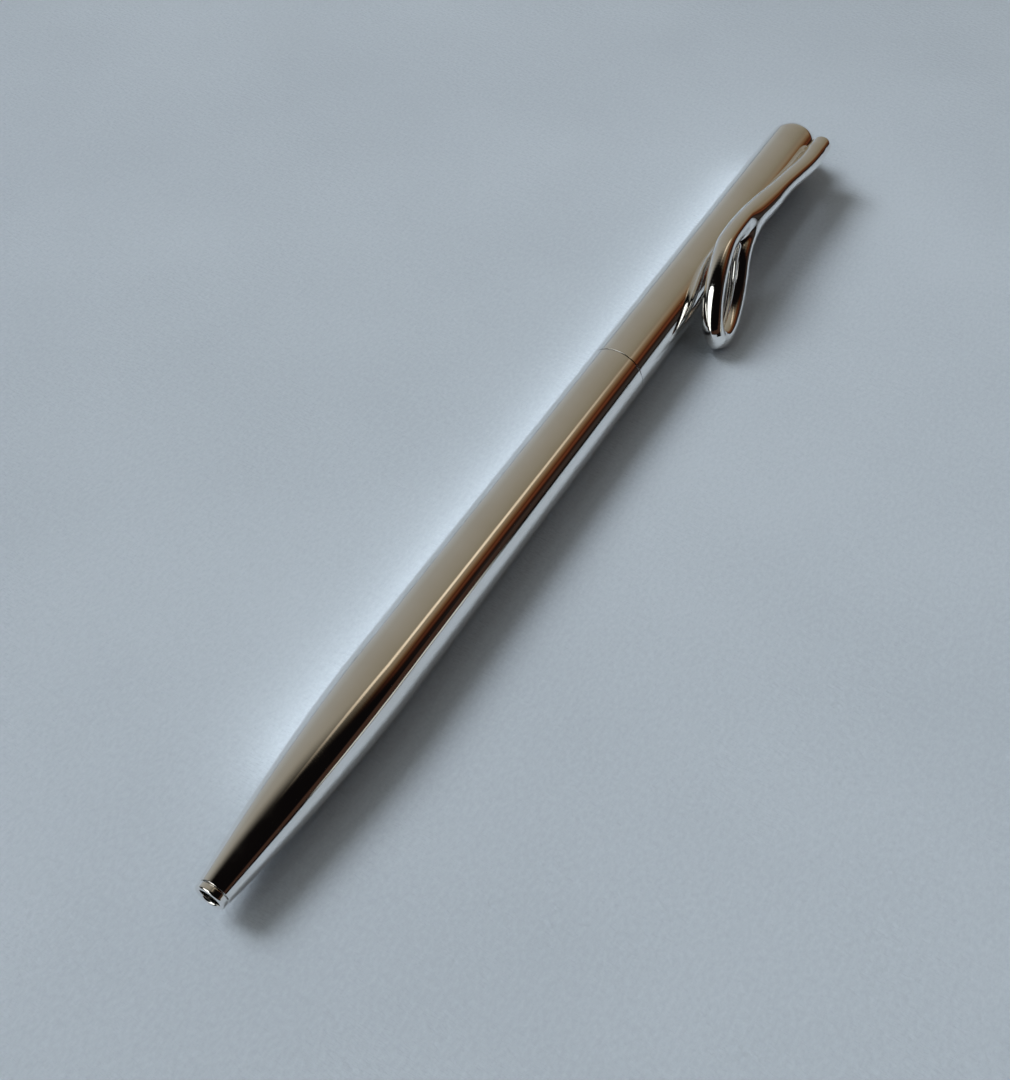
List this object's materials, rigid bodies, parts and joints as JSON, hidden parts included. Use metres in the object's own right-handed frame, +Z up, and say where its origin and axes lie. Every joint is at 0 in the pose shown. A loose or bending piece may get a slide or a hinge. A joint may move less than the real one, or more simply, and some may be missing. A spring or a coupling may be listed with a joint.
{
  "type": "twist-action pen",
  "caption": "Slim polished metal pen with a tapered nose, a twisting upper barrel and a rod pocket clip that ends in an open teardrop loop.",
  "frame": {"origin": "on the table line under the pen's axis, halfway along the pen", "axes": "+X along the pen from the nose to the domed top, +Z up from the table, clip on the -Y side"},
  "size_m": [0.1378, 0.0127, 0.0106],
  "materials": {
    "silver": "mirror-polished silver with faint handling marks",
    "brass": "turned, lightly dulled",
    "steel": "drawn wire and turned steel",
    "point_steel": "fine turned",
    "rubber": "matte",
    "acetal": "moulded, satin",
    "ink": "wet gloss"
  },
  "bodies": {
    "lower_barrel": {"lower_barrel": "silver", "tip_ring": "silver", "nose_bush": "brass", "return_spring": "steel", "centre_bush": "brass", "friction_ring": "rubber", "guide_tube": "brass", "thrust_washer": "acetal"},
    "upper_barrel": {"upper_barrel": "silver", "upper_liner": "brass", "cam_sleeve": "acetal", "cam_retainer": "acetal", "clip_anchor": "brass", "clip_lock_screw": "steel"},
    "clip": {"clip": "silver"},
    "refill": {"refill_carrier": "acetal", "drive_pin": "steel", "refill_plug": "acetal", "refill_tube": "brass", "ink_fill": "ink", "point_housing": "point_steel"},
    "ball": {"ball": "point_steel"}
  },
  "joints": [
    {"name": "barrel_twist", "type": "hinge", "parent": "lower_barrel", "child": "upper_barrel", "pos_m": [0.0104, 0, 0.00375], "axis": [-1, 0, 0], "range_deg": [0, 180]},
    {"name": "point_slide", "type": "slide", "parent": "lower_barrel", "child": "refill", "axis": [-1, 0, 0], "range_m": [0, 0.005], "deforming": ["return_spring"]},
    {"name": "ball_roll", "type": "hinge", "parent": "refill", "child": "ball", "pos_m": [-0.06635, 0, 0.00375], "axis": [0, 1, 0], "continuous": true},
    {"name": "clip_flex", "type": "hinge", "parent": "upper_barrel", "child": "clip", "pos_m": [0.0621, -0.00322, 0.00568], "axis": [0, 0.5135, 0.8581], "range_deg": [0, 3], "stiffness_Nm_per_rad": 0.8, "springref_deg": -1.15}
  ],
  "couplings": [
    {"joint": "barrel_twist", "follows": "point_slide", "rad_per_m": 628.32}
  ]
}
